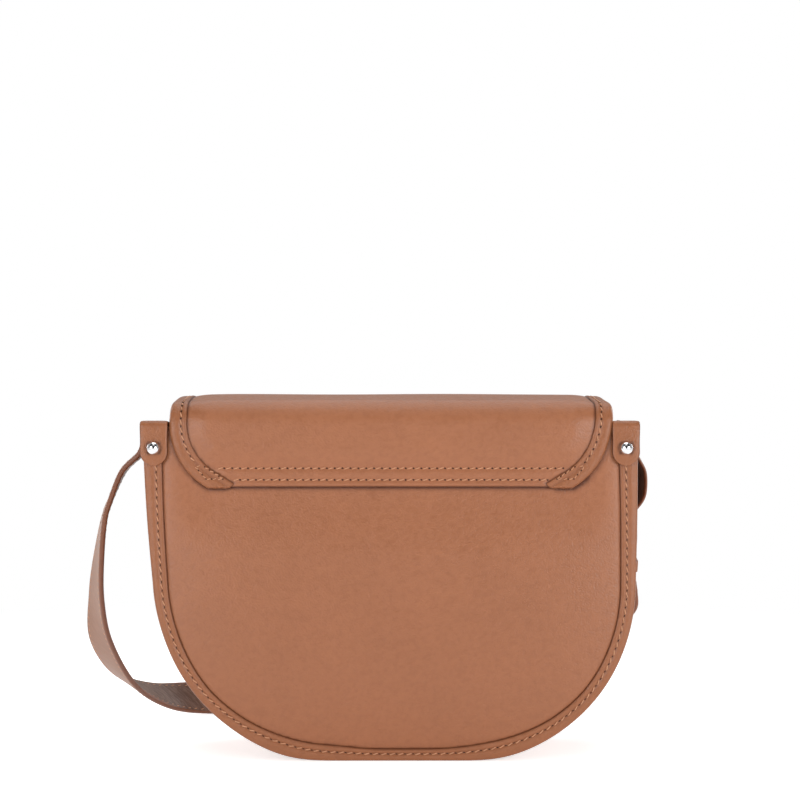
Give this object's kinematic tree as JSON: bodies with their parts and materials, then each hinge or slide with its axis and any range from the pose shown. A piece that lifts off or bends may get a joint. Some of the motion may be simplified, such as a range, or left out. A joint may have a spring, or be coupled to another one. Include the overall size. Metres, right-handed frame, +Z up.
{
  "type": "crossbody bag",
  "caption": "Saddle-shaped leather crossbody bag with a rounded body, a fold-over flap, bound edges and a long buckled strap that lies on the floor in front of it.",
  "frame": {"origin": "middle of the flat bottom, on the plane that the bag stands on", "axes": "+X to the left as seen from behind, along the bag's width; +Y out of the bag's back; +Z up"},
  "size_m": [0.2947, 0.2399, 0.1833],
  "materials": {
    "body_leather": "smooth vegetable-tanned cowhide, light wax finish",
    "binding_leather": "skived binding leather, light wax finish",
    "strap_leather": "folded and stitched strap leather with dyed edges",
    "flap_backing": "thin split leather, matt",
    "lining_cloth": "woven cotton twill",
    "stiffener": "pressed fibre board, matt",
    "nickel": "polished nickel plate",
    "steel": "stamped and plated steel",
    "zip_metal": "moulded and plated zinc",
    "zip_cloth": "woven polyester tape"
  },
  "bodies": {
    "bag": {"back_panel": "body_leather", "front_panel": "body_leather", "gusset": "body_leather", "back_binding": "binding_leather", "front_binding": "binding_leather", "mouth_binding": "binding_leather", "back_board": "stiffener", "front_board": "stiffener", "base_board": "stiffener", "back_lining": "lining_cloth", "front_lining": "lining_cloth", "gusset_lining": "lining_cloth", "slip_pocket": "lining_cloth", "zip_pocket": "lining_cloth", "zip_frame": "body_leather", "zip_tape": "zip_cloth", "zip_teeth": "zip_metal", "flap_anchor": "body_leather", "flap_anchor_lining": "flap_backing", "flap_anchor_binding": "binding_leather", "left_bridge": "body_leather", "right_bridge": "body_leather", "bridge_studs": "nickel", "stud_washers": "steel", "long_strap": "strap_leather", "short_strap": "strap_leather", "buckle_frame": "nickel", "fixed_keeper": "strap_leather", "snap_socket": "nickel", "snap_socket_plate": "steel"},
    "flap": {"flap_leather": "body_leather", "flap_board": "stiffener", "flap_lining": "flap_backing", "flap_binding": "binding_leather", "snap_stud": "nickel", "snap_stud_plate": "steel"},
    "prong": {"buckle_prong": "nickel"},
    "keeper": {"sliding_keeper": "strap_leather"},
    "slider": {"zip_slider": "zip_metal"},
    "puller": {"zip_puller": "zip_metal"}
  },
  "joints": [
    {"name": "flap_hinge", "type": "hinge", "parent": "bag", "child": "flap", "pos_m": [0, 0.0408, 0.168], "axis": [-1, 0, 0], "range_deg": [0, 110]},
    {"name": "prong_hinge", "type": "hinge", "parent": "bag", "child": "prong", "pos_m": [-0.12234, -0.01877, 0.0745], "axis": [0, 0.9781, -0.2079], "range_deg": [0, 25]},
    {"name": "keeper_slide", "type": "slide", "parent": "bag", "child": "keeper", "axis": [-0.0384, 0.2078, 0.9774], "range_m": [-0.001, 0.012]},
    {"name": "zip_slide", "type": "slide", "parent": "bag", "child": "slider", "axis": [1, 0, 0], "range_m": [0, 0.103]},
    {"name": "puller_hinge", "type": "hinge", "parent": "slider", "child": "puller", "pos_m": [-0.0517, 0.02925, 0.122], "axis": [-1, 0, 0], "range_deg": [0, 120]}
  ]
}
